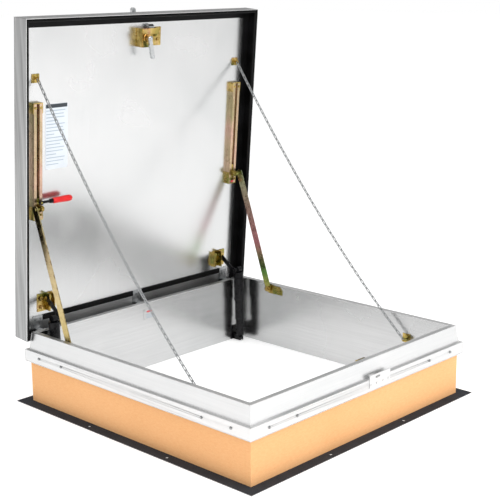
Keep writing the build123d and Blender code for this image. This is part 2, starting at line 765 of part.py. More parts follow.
def curb_eye():
    """Pad on the curb's side wall, a tab and the ring at the chain's other end."""
    y, z = chain_foot
    pad = plate([(y - 20, z - 20), (y + 20, z - 20), (y + 20, z + 20), (y - 20, z + 20)], half - 3, half)
    tab_outline = [(y - 19, z - 5), (y - 7, z - 5), (y - 7, z + 5), (y - 19, z + 5)]
    tab = plate(tab_outline, chain_foot_x - ring_half, half - 3)
    return pad + tab + eye_ring(y, z, chain_foot_x)


right_cover_eye = cover_eye()
group("chain_eyes_cover", [right_cover_eye, mirrored(right_cover_eye)])
right_curb_eye = curb_eye()
group("chain_eyes_curb", [right_curb_eye, mirrored(right_curb_eye)])

# The chain hangs along a parabola between the two rings
top_point = Vector(chain_top_x, *chain_top)
foot_point = Vector(chain_foot_x, *chain_foot)
sag_point = (top_point + foot_point) * 0.5 - Vector(0, 0, 2 * chain_sag)
hang = Bezier(top_point, sag_point, foot_point)
link_pitch = (hang.length - 2 * chain_wire - link_gap) / link_count
link_half = link_pitch / 2 + chain_wire + link_gap / 2


def chain_link():
    """One oval link, long way along X and flat in the XY plane."""
    straight = link_half - link_half_width
    with BuildPart() as link:
        with BuildLine() as loop:
            Line((-straight, link_half_width), (straight, link_half_width))
            RadiusArc((straight, link_half_width), (straight, -link_half_width), link_half_width)
            Line((straight, -link_half_width), (-straight, -link_half_width))
            RadiusArc((-straight, -link_half_width), (-straight, link_half_width), link_half_width)
        with BuildSketch(Plane(origin=(-straight, link_half_width, 0), z_dir=(1, 0, 0))):
            Circle(chain_wire)
        sweep(path=loop.wires()[0])
    return link.part


def placed_link(link, number):
    """A link at its place along the chain, every second one turned by a quarter."""
    along = (link_half + number * link_pitch) / hang.length
    run = hang.tangent_at(along)
    across = Vector(1, 0, 0)
    if number % 2 == 0:
        normal = run.cross(across)
    else:
        normal = across
    return Plane(origin=hang.position_at(along), x_dir=run, z_dir=normal).location * link


link = chain_link()
links = [placed_link(link, number) for number in range(link_count)]
for half_name, pieces in {"upper": links[:upper_count], "lower": links[upper_count:]}.items():
    group(f"chain_{half_name}_right", pieces)
    group(f"chain_{half_name}_left", [mirrored(one) for one in pieces])
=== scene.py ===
"""Looks for an insulated-curb access hatch that stands open: materials, fasteners, trim, floor and light."""

import json
import math

import bmesh
import bpy
from mathutils import Matrix, Vector


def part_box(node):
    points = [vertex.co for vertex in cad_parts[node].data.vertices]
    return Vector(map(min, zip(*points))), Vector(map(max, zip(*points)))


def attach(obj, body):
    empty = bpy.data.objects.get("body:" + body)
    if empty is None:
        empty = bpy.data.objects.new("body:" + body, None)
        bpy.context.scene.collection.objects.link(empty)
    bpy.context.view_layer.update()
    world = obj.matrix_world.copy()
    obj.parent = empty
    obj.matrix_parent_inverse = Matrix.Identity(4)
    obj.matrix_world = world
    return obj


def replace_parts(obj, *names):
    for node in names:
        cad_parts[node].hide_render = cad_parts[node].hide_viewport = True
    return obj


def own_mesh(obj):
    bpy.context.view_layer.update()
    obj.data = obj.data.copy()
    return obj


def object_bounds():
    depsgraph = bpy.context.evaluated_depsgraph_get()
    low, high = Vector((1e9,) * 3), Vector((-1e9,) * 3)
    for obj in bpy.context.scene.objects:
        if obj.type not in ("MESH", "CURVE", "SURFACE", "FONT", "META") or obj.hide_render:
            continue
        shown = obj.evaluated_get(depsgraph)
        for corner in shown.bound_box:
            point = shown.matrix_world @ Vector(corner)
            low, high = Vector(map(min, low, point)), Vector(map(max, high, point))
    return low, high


MM = 0.001

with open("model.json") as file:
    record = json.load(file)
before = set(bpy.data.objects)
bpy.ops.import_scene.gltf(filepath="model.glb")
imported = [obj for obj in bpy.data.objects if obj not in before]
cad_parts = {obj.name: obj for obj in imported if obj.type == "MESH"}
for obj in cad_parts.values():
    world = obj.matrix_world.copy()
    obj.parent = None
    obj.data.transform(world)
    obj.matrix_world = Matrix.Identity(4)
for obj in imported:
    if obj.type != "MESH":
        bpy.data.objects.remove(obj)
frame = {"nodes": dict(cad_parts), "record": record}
cad_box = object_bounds()
joints = {joint["name"]: joint for joint in frame["record"]["behaviour"]["joints"]}

# ------------------------------------------------------------ places, from the frame

OPEN_ANGLE = math.radians(joints["cover_hinge"]["range_deg"][1])
SKIRT_DEPTH = 81.5 * MM
UP = Vector((0, -math.cos(OPEN_ANGLE), math.sin(OPEN_ANGLE)))  # along the open cover, away from the hinge
BACK = Vector((0, math.sin(OPEN_ANGLE), math.cos(OPEN_ANGLE)))  # square to the cover, towards its skin
RIGHT = Vector((1, 0, 0))

skin_low, skin_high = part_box("cover_skin")
COVER_HALF = skin_high[0]
COVER_FOOT = Vector((0, skin_high[1] - SKIRT_DEPTH * math.sin(OPEN_ANGLE), skin_low[2]))
COVER_LENGTH = (skin_high[2] - skin_low[2] - SKIRT_DEPTH * math.cos(OPEN_ANGLE)) / math.sin(OPEN_ANGLE)

cap_low, cap_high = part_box("cap_flashing_front")
BAND_REACH = -cap_low[1]
CAP_TOP = cap_high[2]
BAND_BOTTOM = cap_low[2]
OPENING_HALF = -cap_high[1]
SHOULDER_REACH, CAP_FOOT_REACH = 630.5 * MM, 640.0 * MM
BAND_TOP = 231.0 * MM
BAND_SCREW_XS = (-0.558, -0.410, 0.410, 0.558)
HINGE_XS = (-560.0, 0.0, 560.0)  # across the cover, in millimetres
CHANNEL_X = 571.0  # across the cover, in millimetres
SPINDLE = (-20.0, 1232.0)  # across and up the cover, in millimetres
ARM_STUD_END = 0.587  # how far out the studs' inner ends stand
ARM_FOOT_Y, ARM_FOOT_Z = joints["arm_pivot_right"]["pos_m"][1:]
OPERATOR_X = 0.556
OPERATOR_FOOT = Vector(joints["operator_pivot_right"]["pos_m"][1:])  # y and z
OPERATOR_TOP = Vector((0.575, 0.3585))  # y and z
SIDES = ("left", "right")
MIRROR = (("left", -1), ("right", 1))
CRISP_ANGLE = math.radians(35.0)  # edges sharper than this stay crisp under smooth shading


def on_cover(x, up, depth):
    """A point of the open cover, in millimetres: across, up from its foot, and behind the skirts' edges."""
    return COVER_FOOT + RIGHT * x * MM + UP * up * MM + BACK * depth * MM


def front_place(x, up, depth):
    """A placement on the open cover's inner side: X runs across, Y up the cover and Z out of it."""
    return frame_of(on_cover(x, up, depth), -BACK, RIGHT)


# ------------------------------------------------------------ mesh helpers

def frame_of(origin, direction, across=None):
    """A placement whose Z runs along direction and whose X lies near across."""
    z = Vector(direction).normalized()
    seed = Vector(across) if across is not None else (RIGHT if abs(z.x) < 0.9 else Vector((0, 1, 0)))
    y = z.cross(seed).normalized()
    x = y.cross(z)
    turn = Matrix((x, y, z)).transposed().to_4x4()
    return Matrix.Translation(origin) @ turn


def piece(name, mesh, body, material):
    """A finished mesh becomes an object that rides on a body."""
    data = bpy.data.meshes.new(name)
    bmesh.ops.recalc_face_normals(mesh, faces=mesh.faces)
    mesh.to_mesh(data)
    mesh.free()
    thing = bpy.data.objects.new(name, data)
    bpy.context.collection.objects.link(thing)
    data.materials.append(material)
    for polygon in data.polygons:
        polygon.use_smooth = True
    data.set_sharp_from_angle(angle=CRISP_ANGLE)
    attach(thing, body)
    return thing


def ring_of(mesh, place, radius, height, steps):
    """Adds a ring of vertices round the placement's Z, sizes in millimetres."""
    ring = []
    for step in range(steps):
        turn = 2 * math.pi * step / steps
        spot = Vector((radius * math.cos(turn), radius * math.sin(turn), height)) * MM
        ring.append(mesh.verts.new(place @ spot))
    return ring


def join_rings(mesh, rings):
    """Adds the faces between each ring and the next."""
    for first, second in zip(rings, rings[1:]):
        steps = len(first)
        for step in range(steps):
            after = (step + 1) % steps
            mesh.faces.new((first[step], first[after], second[after], second[step]))


def lathe(mesh, place, profile, steps=32):
    """Adds a turned shape: profile is (radius, height) pairs in millimetres, from one end to the other."""
    rings = [ring_of(mesh, place, radius, height, steps) for radius, height in profile]
    join_rings(mesh, rings)
    mesh.faces.new(rings[0])
    mesh.faces.new(rings[-1])


def lathe_ring(mesh, place, inner, outer, low, high):
    """Adds a hollow ring with rounded outer edges."""
    ease = 0.8
    profile = [
        (inner, low),
        (outer - ease, low),
        (outer, low + ease),
        (outer, high - ease),
        (outer - ease, high),
        (inner, high),
    ]
    rings = [ring_of(mesh, place, radius, height, steps=40) for radius, height in profile]
    join_rings(mesh, rings + rings[:1])


def slab(mesh, place, size, bevel):
    """Adds a rectangular plate with eased edges, its base centred on the placement, in millimetres."""
    wide, long, high = (value * MM for value in size)
    made = bmesh.ops.create_cube(mesh, size=1.0)
    shape = place @ Matrix.Translation((0, 0, high / 2)) @ Matrix.Diagonal((wide, long, high, 1))
    bmesh.ops.transform(mesh, matrix=shape, verts=made["verts"])
    edges = {edge for vert in made["verts"] for edge in vert.link_edges}
    bmesh.ops.bevel(mesh, geom=list(edges), offset=bevel * MM, segments=2, affect="EDGES", profile=0.6)


def hex_bolt(mesh, place, radius, height):
    """Adds a hexagon head with a chamfered top on a washer."""
    base = 0.22 * radius
    washer = [(radius * 1.45, 0), (radius * 1.45, base * 0.8), (radius * 1.38, base)]
    lathe(mesh, place, washer, steps=28)
    corner = radius * 1.1
    head = [(corner, base), (corner, base + height * 0.8), (radius * 0.88, base + height)]
    lathe(mesh, place, head, steps=6)
    crown = base + height * 1.03
    dimple = [(radius * 0.86, base + height), (radius * 0.5, crown), (radius * 0.2, crown)]
    lathe(mesh, place, dimple, steps=24)


def tube_along(mesh, points, radius, sides=10):
    """Adds a round bead along a line of points."""
    spots = [Vector(point) for point in points]
    rings = []
    for index, spot in enumerate(spots):
        before = spots[max(index - 1, 0)]
        after = spots[min(index + 1, len(spots) - 1)]
        place = frame_of(spot, after - before)
        ring = []
        for side in range(sides):
            turn = 2 * math.pi * side / sides
            ring.append(mesh.verts.new(place @ (Vector((math.cos(turn), math.sin(turn), 0)) * radius * MM)))
        rings.append(ring)
    join_rings(mesh, rings)
    mesh.faces.new(rings[0])
    mesh.faces.new(rings[-1])


def soften(node, width, segments=2):
    """Rounds a CAD node's crisp edges with modifiers, which leave its own mesh alone."""
    thing = frame["nodes"][node]
    weld = thing.modifiers.new("weld", "WELD")
    weld.merge_threshold = 0.01 * MM
    bevel = thing.modifiers.new("edges", "BEVEL")
    bevel.width = width * MM
    bevel.segments = segments
    bevel.limit_method = "ANGLE"
    bevel.angle_limit = math.radians(40)
    bevel.harden_normals = True


def dress(material, *nodes):
    """Puts one material on CAD nodes."""
    for node in nodes:
        slots = frame["nodes"][node].data.materials
        slots.clear()
        slots.append(material)


# ------------------------------------------------------------ material helpers

class Surface:
    """A procedural material: a Principled shader and the few texture nodes that feed it."""

    def __init__(self, name, metallic=0.0, specular=0.5):
        self.material = bpy.data.materials.new(name)
        self.material.use_nodes = True
        self.tree = self.material.node_tree
        self.shader = self.tree.nodes["Principled BSDF"]
        self.shader.inputs["Metallic"].default_value = metallic
        self.shader.inputs["Specular IOR Level"].default_value = specular
        self.spot = self.tree.nodes.new("ShaderNodeTexCoord").outputs["Object"]

    def stretched(self, scale):
        """Object coordinates scaled differently along each axis, for grain and streaks."""
        mapping = self.tree.nodes.new("ShaderNodeMapping")
        mapping.inputs["Scale"].default_value = scale
        self.tree.links.new(self.spot, mapping.inputs["Vector"])
        return mapping.outputs["Vector"]

    def height(self):
        """How high a point stands in the frame, at rest."""
        split = self.tree.nodes.new("ShaderNodeSeparateXYZ")
        self.tree.links.new(self.spot, split.inputs["Vector"])
        return split.outputs["Z"]

    def noise(self, scale, detail=4.0, roughness=0.5, vector=None, distortion=0.0):
        noise = self.tree.nodes.new("ShaderNodeTexNoise")
        noise.inputs["Scale"].default_value = scale
        noise.inputs["Detail"].default_value = detail
        noise.inputs["Roughness"].default_value = roughness
        noise.inputs["Distortion"].default_value = distortion
        self.tree.links.new(vector or self.spot, noise.inputs["Vector"])
        return noise.outputs["Fac"]

    def ramp(self, value, stops):
        """Colours along a value: stops are (position, colour) pairs."""
        ramp = self.tree.nodes.new("ShaderNodeValToRGB")
        elements = ramp.color_ramp.elements
        while len(elements) < len(stops):
            elements.new(0.5)
        for element, (position, colour) in zip(elements, stops):
            element.position = position
            element.color = (*colour, 1)
        self.tree.links.new(value, ramp.inputs["Fac"])
        return ramp.outputs["Color"]

    def span(self, value, low, high, start=0.3, end=0.7):
        """A value spread from start..end to low..high."""
        spread = self.tree.nodes.new("ShaderNodeMapRange")
        spread.inputs["From Min"].default_value = start
        spread.inputs["From Max"].default_value = end
        spread.inputs["To Min"].default_value = low
        spread.inputs["To Max"].default_value = high
        self.tree.links.new(value, spread.inputs["Value"])
        return spread.outputs["Result"]

    def multiply(self, first, second, amount):
        """The first colour darkened by the second, by this share."""
        mix = self.tree.nodes.new("ShaderNodeMix")
        mix.data_type = "RGBA"
        mix.blend_type = "MULTIPLY"
        mix.inputs["Factor"].default_value = amount
        self.tree.links.new(first, mix.inputs["A"])
        self.tree.links.new(second, mix.inputs["B"])
        return mix.outputs["Result"]

    def colour(self, value):
        self.tree.links.new(value, self.shader.inputs["Base Color"])

    def roughness(self, value):
        self.tree.links.new(value, self.shader.inputs["Roughness"])

    def bump(self, value, height, strength=0.5):
        """Relief of this height in millimetres."""
        bump = self.tree.nodes.new("ShaderNodeBump")
        bump.inputs["Strength"].default_value = strength
        bump.inputs["Distance"].default_value = height * MM
        self.tree.links.new(value, bump.inputs["Height"])
        self.tree.links.new(bump.outputs["Normal"], self.shader.inputs["Normal"])


# ------------------------------------------------------------ materials

def sheet_metal(name, bright, grain, rough, streaky=0.10):
    """Rolled aluminium sheet: fine streaks along the rolling direction, faint smudges and a soft sheen."""
    surface = Surface(name, metallic=1.0)
    streaks = surface.noise(3.0, 6.0, 0.65, surface.stretched(grain))
    smudges = surface.noise(2.6, 3.0, 0.5, distortion=0.6)
    fine = surface.ramp(streaks, [(0.3, [bright * (1 - streaky)] * 3), (0.7, [bright] * 3)])
    cloud = surface.ramp(smudges, [(0.3, (0.89, 0.90, 0.90)), (0.7, (1, 1, 1))])
    surface.colour(surface.multiply(fine, cloud, 1.0))
    surface.roughness(surface.span(smudges, rough * 0.85, rough * 1.2))
    return surface.material


def yellow_zinc(name, brown=1.0):
    """Yellow-passivated zinc: brownish gold that drifts to olive and to pink, with darker stains."""
    surface = Surface(name, metallic=1.0)
    drift = surface.noise(14.0, 2.0, 0.5, distortion=0.5)
    stain = surface.noise(38.0, 4.0, 0.55)
    gold = surface.ramp(
        drift,
        [
            (0.32, (0.24, 0.25, 0.07)),
            (0.46, (0.46 * brown, 0.33, 0.09)),
            (0.58, (0.62 * brown, 0.46, 0.17)),
            (0.70, (0.50 * brown, 0.27, 0.17)),
        ],
    )
    dark = surface.ramp(stain, [(0.32, (0.45, 0.40, 0.34)), (0.58, (1, 1, 1))])
    surface.colour(surface.multiply(gold, dark, 0.75))
    surface.roughness(surface.span(stain, 0.20, 0.36))
    surface.bump(stain, 0.05, 0.3)
    return surface.material


def channel_zinc(name):
    """Pinkish tan plating with long vertical drifts of colour."""
    surface = Surface(name, metallic=1.0)
    drift = surface.noise(7.0, 3.0, 0.5, surface.stretched((3.0, 3.0, 0.8)), 0.4)
    stain = surface.noise(46.0, 4.0, 0.6)
    tan = surface.ramp(
        drift,
        [(0.32, (0.42, 0.36, 0.20)), (0.50, (0.60, 0.44, 0.30)), (0.68, (0.66, 0.42, 0.34))],
    )
    dark = surface.ramp(stain, [(0.30, (0.60, 0.55, 0.50)), (0.60, (1, 1, 1))])
    surface.colour(surface.multiply(tan, dark, 0.6))
    surface.roughness(surface.span(stain, 0.24, 0.38))
    surface.bump(stain, 0.04, 0.3)
    return surface.material


def rainbow_zinc(name, stops):
    """Plating whose passivation drifts from one colour to another up the bar; stops are (height, colour)."""
    low, high = stops[0][0], stops[-1][0]
    surface = Surface(name, metallic=1.0)
    climb = surface.span(surface.height(), 0.0, 1.0, low, high)
    stain = surface.noise(40.0, 4.0, 0.6)
    tones = surface.ramp(climb, [((height - low) / (high - low), colour) for height, colour in stops])
    dark = surface.ramp(stain, [(0.30, (0.55, 0.52, 0.48)), (0.62, (1, 1, 1))])
    surface.colour(surface.multiply(tones, dark, 0.7))
    surface.roughness(surface.span(stain, 0.22, 0.36))
    surface.bump(stain, 0.04, 0.3)
    return surface.material


def plated_steel(name, level=0.62, rough=0.28, scale=90.0):
    """Bright zinc on steel: cool grey, slightly mottled."""
    surface = Surface(name, metallic=1.0)
    mottle = surface.noise(scale, 5.0, 0.6)
    dull = (level * 0.66, level * 0.70, level * 0.72)
    surface.colour(surface.ramp(mottle, [(0.3, dull), (0.7, [level] * 3)]))
    surface.roughness(surface.span(mottle, rough * 0.8, rough * 1.4))
    surface.bump(mottle, 0.04, 0.35)
    return surface.material


def black_rubber(name):
    """Extruded cellular rubber: near black, finely pitted and matte."""
    surface = Surface(name, specular=0.12)
    pits = surface.noise(420.0, 6.0, 0.7)
    dust = surface.noise(9.0, 4.0, 0.55)
    surface.colour(surface.ramp(dust, [(0.40, (0.002, 0.002, 0.002)), (0.80, (0.009, 0.009, 0.010))]))
    surface.roughness(surface.span(dust, 0.34, 0.55))
    surface.bump(pits, 0.2, 0.4)
    return surface.material


def black_paint(name):
    """Black enamel with orange peel and a little dust."""
    surface = Surface(name, specular=0.22)
    peel = surface.noise(240.0, 2.0, 0.4)
    dust = surface.noise(30.0, 5.0, 0.6)
    surface.colour(surface.ramp(dust, [(0.4, (0.002, 0.002, 0.003)), (0.8, (0.012, 0.012, 0.013))]))
    surface.roughness(surface.span(dust, 0.22, 0.36))
    surface.bump(peel, 0.08, 0.4)
    return surface.material


def fibreboard(name):
    """Rigid insulation board: orange-tan, fibrous and a little uneven in tone."""
    surface = Surface(name, specular=0.15)
    fibres = surface.noise(55.0, 8.0, 0.7, surface.stretched((1.0, 1.0, 3.5)), 0.4)
    tone = surface.noise(1.7, 3.0, 0.5)
    specks = surface.noise(260.0, 4.0, 0.6)
    base = surface.ramp(fibres, [(0.30, (0.90, 0.47, 0.21)), (0.70, (0.96, 0.57, 0.28))])
    drift = surface.ramp(tone, [(0.30, (0.93, 0.89, 0.85)), (0.70, (1, 1, 1))])
    flecks = surface.ramp(specks, [(0.30, (0.82, 0.76, 0.70)), (0.42, (1, 1, 1))])
    toned = surface.multiply(base, drift, 1.0)
    surface.colour(surface.multiply(toned, flecks, 0.5))
    surface.roughness(surface.span(fibres, 0.78, 0.95))
    surface.bump(fibres, 0.7, 0.5)
    return surface.material


def membrane(name):
    """Mineral-faced charcoal strip on the flange."""
    surface = Surface(name, specular=0.15)
    grit = surface.noise(520.0, 5.0, 0.7)
    wear = surface.noise(14.0, 4.0, 0.6)
    grains = surface.ramp(grit, [(0.35, (0.018, 0.020, 0.024)), (0.70, (0.070, 0.078, 0.092))])
    faded = surface.ramp(wear, [(0.3, (0.70, 0.71, 0.74)), (0.7, (1, 1, 1))])
    surface.colour(surface.multiply(grains, faded, 1.0))
    surface.roughness(surface.span(grit, 0.7, 0.95))
    surface.bump(grit, 0.4, 0.6)
    return surface.material


def dipped_vinyl(name):
    """Soft red vinyl from a dip tank: glossy, with faint sags."""
    surface = Surface(name, specular=0.4)
    sags = surface.noise(70.0, 2.0, 0.4, surface.stretched((0.4, 1.0, 1.0)))
    surface.colour(surface.ramp(sags, [(0.3, (0.60, 0.006, 0.008)), (0.7, (0.78, 0.014, 0.014))]))
    surface.roughness(surface.span(sags, 0.24, 0.38))
    surface.bump(sags, 0.5, 0.3)
    return surface.material


def printed_film(name, tone, rough=0.45):
    """Label film with a faint weave."""
    surface = Surface(name, specular=0.4)
    weave = surface.noise(600.0, 3.0, 0.6)
    aged = surface.noise(12.0, 3.0, 0.5)
    pale = [value * 0.93 for value in tone]
    surface.colour(surface.ramp(aged, [(0.3, pale), (0.7, tone)]))
    surface.roughness(surface.span(weave, rough * 0.85, rough * 1.15))
    surface.bump(weave, 0.02, 0.3)
    return surface.material


def floor_finish():
    """Pale seamless studio floor."""
    surface = Surface("studio_floor", specular=0.1)
    tone = surface.noise(0.8, 2.0, 0.5)
    surface.colour(surface.ramp(tone, [(0.3, (0.93, 0.93, 0.93)), (0.7, (0.95, 0.95, 0.95))]))
    surface.shader.inputs["Roughness"].default_value = 0.9
    surface.shader.inputs["Emission Color"].default_value = (1, 1, 1, 1)
    surface.shader.inputs["Emission Strength"].default_value = 0.35
    return surface.material


SKIN = sheet_metal("aluminium_skin", 0.54, (30, 16, 0.5), 0.30, 0.50)
HEM = sheet_metal("aluminium_hem", 0.80, (30, 30, 30), 0.28)
LINER = sheet_metal("aluminium_liner", 0.70, (60, 1, 1), 0.24, 0.04)
# The curb walls come as two copies with the grain along each wall. The side walls' copy is a little darker
# (0.63 against 0.68), which is painted shade.
CURB_X = sheet_metal("aluminium_curb_long", 0.68, (1, 60, 60), 0.22)
CURB_Y_PAINTED_SHADE = sheet_metal("aluminium_curb_cross_painted_shade", 0.63, (60, 1, 60), 0.24)
CAP_X = sheet_metal("aluminium_cap_long", 0.77, (1, 60, 60), 0.34, 0.07)
CAP_Y = sheet_metal("aluminium_cap_cross", 0.77, (60, 1, 60), 0.34, 0.07)
TRIM = sheet_metal("aluminium_trim", 0.78, (1, 30, 30), 0.34, 0.2)
GOLD = yellow_zinc("yellow_zinc")
BRASS = yellow_zinc("pale_brass", 1.25)
CHANNEL = channel_zinc("channel_zinc")
ARM_LEFT = rainbow_zinc(
    "arm_zinc_left",
    [
        (0.27, (0.50, 0.38, 0.13)),
        (0.45, (0.62, 0.50, 0.26)),
        (0.65, (0.56, 0.44, 0.26)),
        (0.83, (0.46, 0.40, 0.18)),
    ],
)
ARM_RIGHT = rainbow_zinc(
    "arm_zinc_right",
    [
        (0.27, (0.62, 0.46, 0.14)),
        (0.36, (0.20, 0.44, 0.10)),
        (0.50, (0.60, 0.24, 0.26)),
        (0.66, (0.46, 0.30, 0.24)),
        (0.83, (0.40, 0.46, 0.26)),
    ],
)
STEEL = plated_steel("plated_steel")
SCREW = plated_steel("screw_steel", 0.42, 0.3, 200.0)
CHAIN = plated_steel("chain_zinc", 0.44, 0.36, 160.0)
RUBBER = black_rubber("gasket_rubber")
BLACK = black_paint("black_enamel")
BOARD = fibreboard("insulation_board")
MEMBRANE = membrane("flange_membrane")
VINYL = dipped_vinyl("red_vinyl")
PAPER = printed_film("label_film", (0.74, 0.79, 0.85))
INK = printed_film("label_ink", (0.42, 0.50, 0.58))
HEADER = printed_film("label_header", (0.035, 0.045, 0.055), 0.35)
RED_INK = printed_film("label_red", (0.72, 0.06, 0.08), 0.4)


def dress_frame():
    """Materials and rounded edges for the CAD nodes that stay visible."""
    dress(SKIN, "cover_skin", "cover_stiffeners", "cover_core")
    dress(LINER, "cover_liner")
    dress(CURB_X, "curb_wall_front", "curb_wall_rear", "data_plate")
    dress(CURB_Y_PAINTED_SHADE, "curb_wall_left", "curb_wall_right")
    dress(CAP_X, "cap_flashing_front", "cap_flashing_rear", "hasp_plate")
    dress(CAP_Y, "cap_flashing_left", "cap_flashing_right")
    dress(BOARD, *[f"curb_insulation_{side}" for side in ("front", "rear", "left", "right")])
    dress(MEMBRANE, "flange_seal")
    dress(RUBBER, "cover_gasket", "hinge_seal")
    dress(TRIM, "hinge_trim")
    dress(GOLD, "strike", "arm_brackets", "chain_eyes_curb", "chain_eyes_cover", "channel_ends")
    dress(GOLD, "operator_brackets", "latch_case")
    dress(BRASS, "latch_hub")
    dress(CHANNEL, "guide_channels")
    dress(STEEL, "hinge_leaves_curb", "hinge_leaves_cover", "hinge_pins", "spindle", "latch_bolt")
    dress(STEEL, "handle_inside", "handle_outside")
    dress(BLACK, "operator_shoes", "operator_levers", "release_lever")
    dress(PAPER, "info_label")
    dress(ARM_LEFT, "hold_open_arm_left")
    dress(ARM_RIGHT, "hold_open_arm_right")
    for side in SIDES:
        dress(GOLD, f"arm_slider_{side}")
        dress(BLACK, f"operator_lower_{side}", f"operator_middle_{side}", f"operator_upper_{side}")
        dress(CHAIN, f"chain_upper_{side}", f"chain_lower_{side}")
        soften(f"hold_open_arm_{side}", 1.0)
    for side in ("front", "rear", "left", "right"):
        soften(f"cap_flashing_{side}", 0.8)
        soften(f"curb_insulation_{side}", 1.5)
    soften("cover_skin", 1.2, 3)
    soften("cover_gasket", 1.2)
    soften("hinge_seal", 2.0, 3)
    plated = ["strike", "latch_case", "channel_ends", "guide_channels"]
    lift_parts = ["operator_brackets", "operator_levers"]
    for node in plated + lift_parts:
        soften(node, 0.6)
    flat_bars = ["handle_inside", "handle_outside", "arm_brackets"]
    leaves = ["hinge_leaves_curb", "hinge_leaves_cover"]
    for node in flat_bars + leaves:
        soften(node, 0.8)


# ------------------------------------------------------------ detail pieces

def make_band_screws():
    """Hexagon-head screws round the cap's band, in place of the frame's plain ones."""
    head_radius, head_height = 4.4, 3.6
    low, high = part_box("band_screws")
    height = (low[2] + high[2]) / 2
    mesh = bmesh.new()
    for quarter in range(4):
        out = Vector((math.sin(quarter * math.pi / 2), math.cos(quarter * math.pi / 2), 0))
        along = Vector((out.y, -out.x, 0))
        for offset in BAND_SCREW_XS:
            spot = out * BAND_REACH + along * offset
            spot.z = height
            hex_bolt(mesh, frame_of(spot, out, along), head_radius, head_height)
    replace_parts(piece("band_screw_heads", mesh, "curb", SCREW), "band_screws")


def square_loop(reach, height):
    """Corners of a level square round the curb, closed."""
    corners = [(-1, -1), (1, -1), (1, 1), (-1, 1), (-1, -1)]
    return [Vector((x * reach, y * reach, height)) for x, y in corners]


def straight_beads(mesh, points, radius):
    """A bead on each straight stretch between the points."""
    for first, second in zip(points, points[1:]):
        tube_along(mesh, [first, second], radius)


def cover_beads(mesh, corners, depth, radius):
    """Straight beads between points of the cover that all lie at one depth, in millimetres."""
    straight_beads(mesh, [on_cover(x, up, depth) for x, up in corners], radius)


def make_curb_hems():
    """Rolled lips on the cap: round the opening, at the shoulder's edge and along the band's two edges."""
    lips = [
        (OPENING_HALF + 1.2 * MM, CAP_TOP - 1.5 * MM, 1.5),
        (SHOULDER_REACH, CAP_TOP - 0.8 * MM, 1.2),
        (BAND_REACH - 0.6 * MM, BAND_BOTTOM, 1.6),
        (BAND_REACH - 0.8 * MM, BAND_TOP, 1.2),
    ]
    mesh = bmesh.new()
    for reach, height, radius in lips:
        straight_beads(mesh, square_loop(reach, height), radius)
    piece("cap_hems", mesh, "curb", HEM)


def make_corner_welds():
    """A ground weld bead down each mitred corner of the cap."""
    weld_radius = 1.3
    weld_top = CAP_TOP - 1.0 * MM
    profile = [
        (OPENING_HALF, weld_top),
        (SHOULDER_REACH, weld_top),
        (CAP_FOOT_REACH, BAND_TOP),
        (BAND_REACH, BAND_TOP),
        (BAND_REACH, BAND_BOTTOM),
    ]
    mesh = bmesh.new()
    for x_side in (-1, 1):
        for y_side in (-1, 1):
            line = [Vector((x_side * reach, y_side * reach, height)) for reach, height in profile]
            straight_beads(mesh, line, weld_radius)
    piece("corner_welds", mesh, "curb", HEM)


def make_skirt_hem():
    """A folded lip along the free edges of the cover's skirts."""
    inset, depth, radius = 1.2, 0.6, 1.4
    half = COVER_HALF / MM - inset
    top = COVER_LENGTH / MM - inset
    mesh = bmesh.new()
    cover_beads(mesh, [(-half, inset), (-half, top), (half, top), (half, inset)], depth, radius)
    piece("skirt_hem", mesh, "cover", HEM)


def make_gasket_ribs():
    """Raised ribs along the gasket, three abreast, on the sides and the free end."""
    inner, pitch, start = 618.0, 11.0, 8.0
    depth, radius = 52.6, 2.2
    top = COVER_LENGTH / MM
    mesh = bmesh.new()
    for number in range(3):
        reach = inner + number * pitch
        end = top - COVER_HALF / MM + reach
        cover_beads(mesh, [(-reach, start), (-reach, end), (reach, end), (reach, start)], depth, radius)
    piece("gasket_ribs", mesh, "cover", RUBBER)


def make_skirt_bulb():
    """Rubber bulb inside the skirts' free edges, which closes on the cap's leaning side."""
    inset, start = 11.0, 12.0
    depth, radius = 7.0, 5.6
    reach = COVER_HALF / MM - inset
    top = COVER_LENGTH / MM - inset
    mesh = bmesh.new()
    cover_beads(mesh, [(-reach, start), (-reach, top), (reach, top), (reach, start)], depth, radius)
    piece("skirt_bulb", mesh, "cover", RUBBER)


def make_hinge_seal_ribs():
    """Two ribs along each length of the hinge-side seal."""
    depth, radius = 53.1, 2.6
    lengths = ((-533.0, -27.0), (27.0, 533.0))
    mesh = bmesh.new()
    for low_x, high_x in lengths:
        for up in (62.0, 73.0):
            cover_beads(mesh, [(low_x, up), (high_x, up)], depth, radius)
    piece("hinge_seal_ribs", mesh, "cover", RUBBER)


def make_hinge_bolts():
    """Two low round heads on each hinge strap, which stay clear of the cap when the cover is shut."""
    up, strap_face, spread = 66.0, 50.5, 14.0
    head = [(5.4, 0), (5.2, 0.15), (4.4, 0.3), (1.0, 0.4)]
    mesh = bmesh.new()
    for strap_x in HINGE_XS:
        for offset in (-spread, spread):
            lathe(mesh, front_place(strap_x + offset, up, strap_face), head)
    piece("hinge_bolts", mesh, "cover", SCREW)


